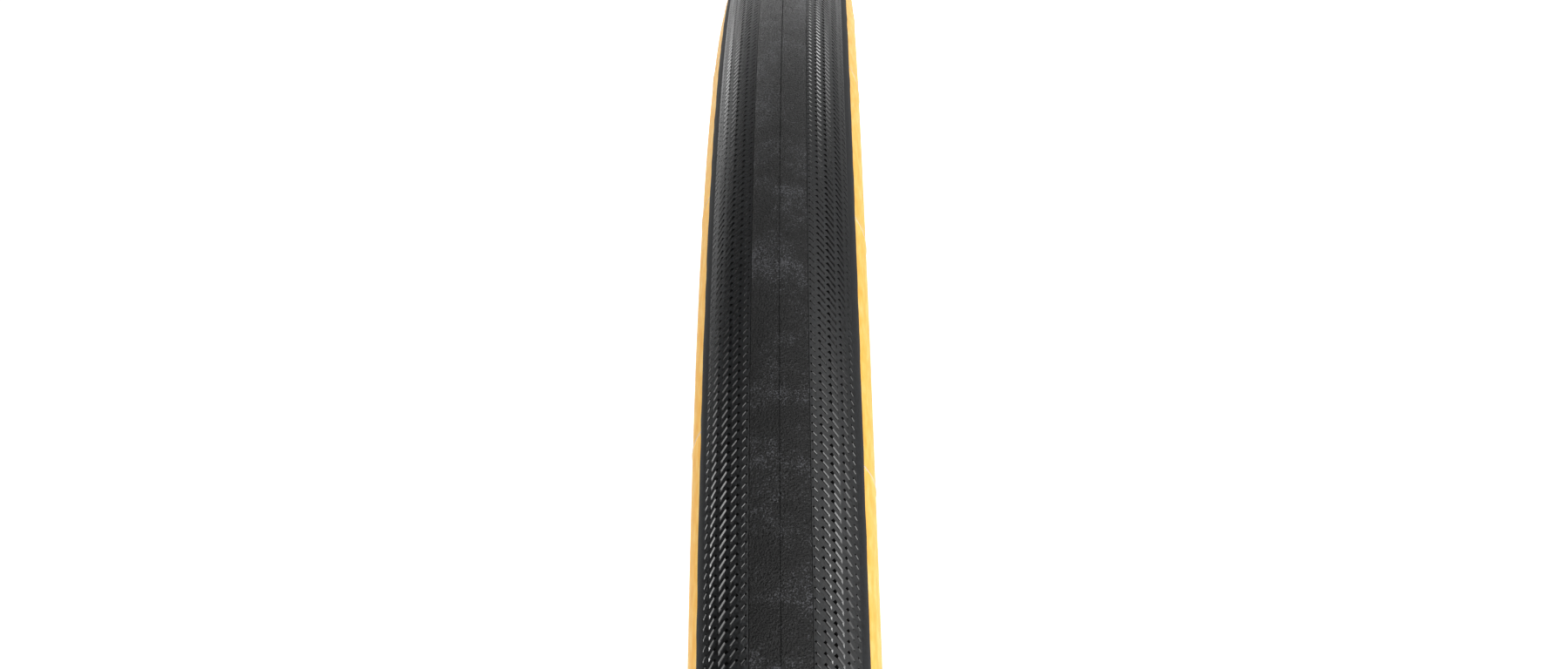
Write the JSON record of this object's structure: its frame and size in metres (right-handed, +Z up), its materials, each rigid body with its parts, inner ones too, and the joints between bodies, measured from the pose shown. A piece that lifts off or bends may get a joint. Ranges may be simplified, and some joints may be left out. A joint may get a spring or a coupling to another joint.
{
  "type": "bicycle tire",
  "caption": "Folding clincher bicycle tire at its inflated shape, with a black file tread, a smooth raised centre band and golden sidewalls, held on a rim by two beads.",
  "frame": {"origin": "the wheel centre: the middle of the tire's axle line", "axes": "+Y along the axle, +Z up and +X forward with the tire standing in its plane"},
  "size_m": [0.682, 0.03, 0.682],
  "materials": {
    "tread_rubber": "matt black moulded rubber with a fine grain",
    "golden_sidewall": "satin golden yellow rubber over woven cord",
    "casing_fabric": "rubbered cotton-coloured cord fabric",
    "belt_fabric": "rubbered square-woven fabric",
    "liner_rubber": "smooth matt black rubber",
    "aramid_cord": "wound yellow aramid yarn",
    "bead_rubber": "matt black rubber",
    "chafer_fabric": "dark rubbered square-woven fabric"
  },
  "bodies": {
    "root": {"tread_cap": "tread_rubber", "puncture_belt": "belt_fabric", "casing_ply_outer": "casing_fabric", "casing_ply_inner": "casing_fabric", "inner_liner": "liner_rubber", "sidewall_left": "golden_sidewall", "sidewall_right": "golden_sidewall", "bead_core_left": "aramid_cord", "bead_core_right": "aramid_cord", "bead_filler_left": "bead_rubber", "bead_filler_right": "bead_rubber", "chafer_left": "chafer_fabric", "chafer_right": "chafer_fabric"}
  },
  "joints": []
}
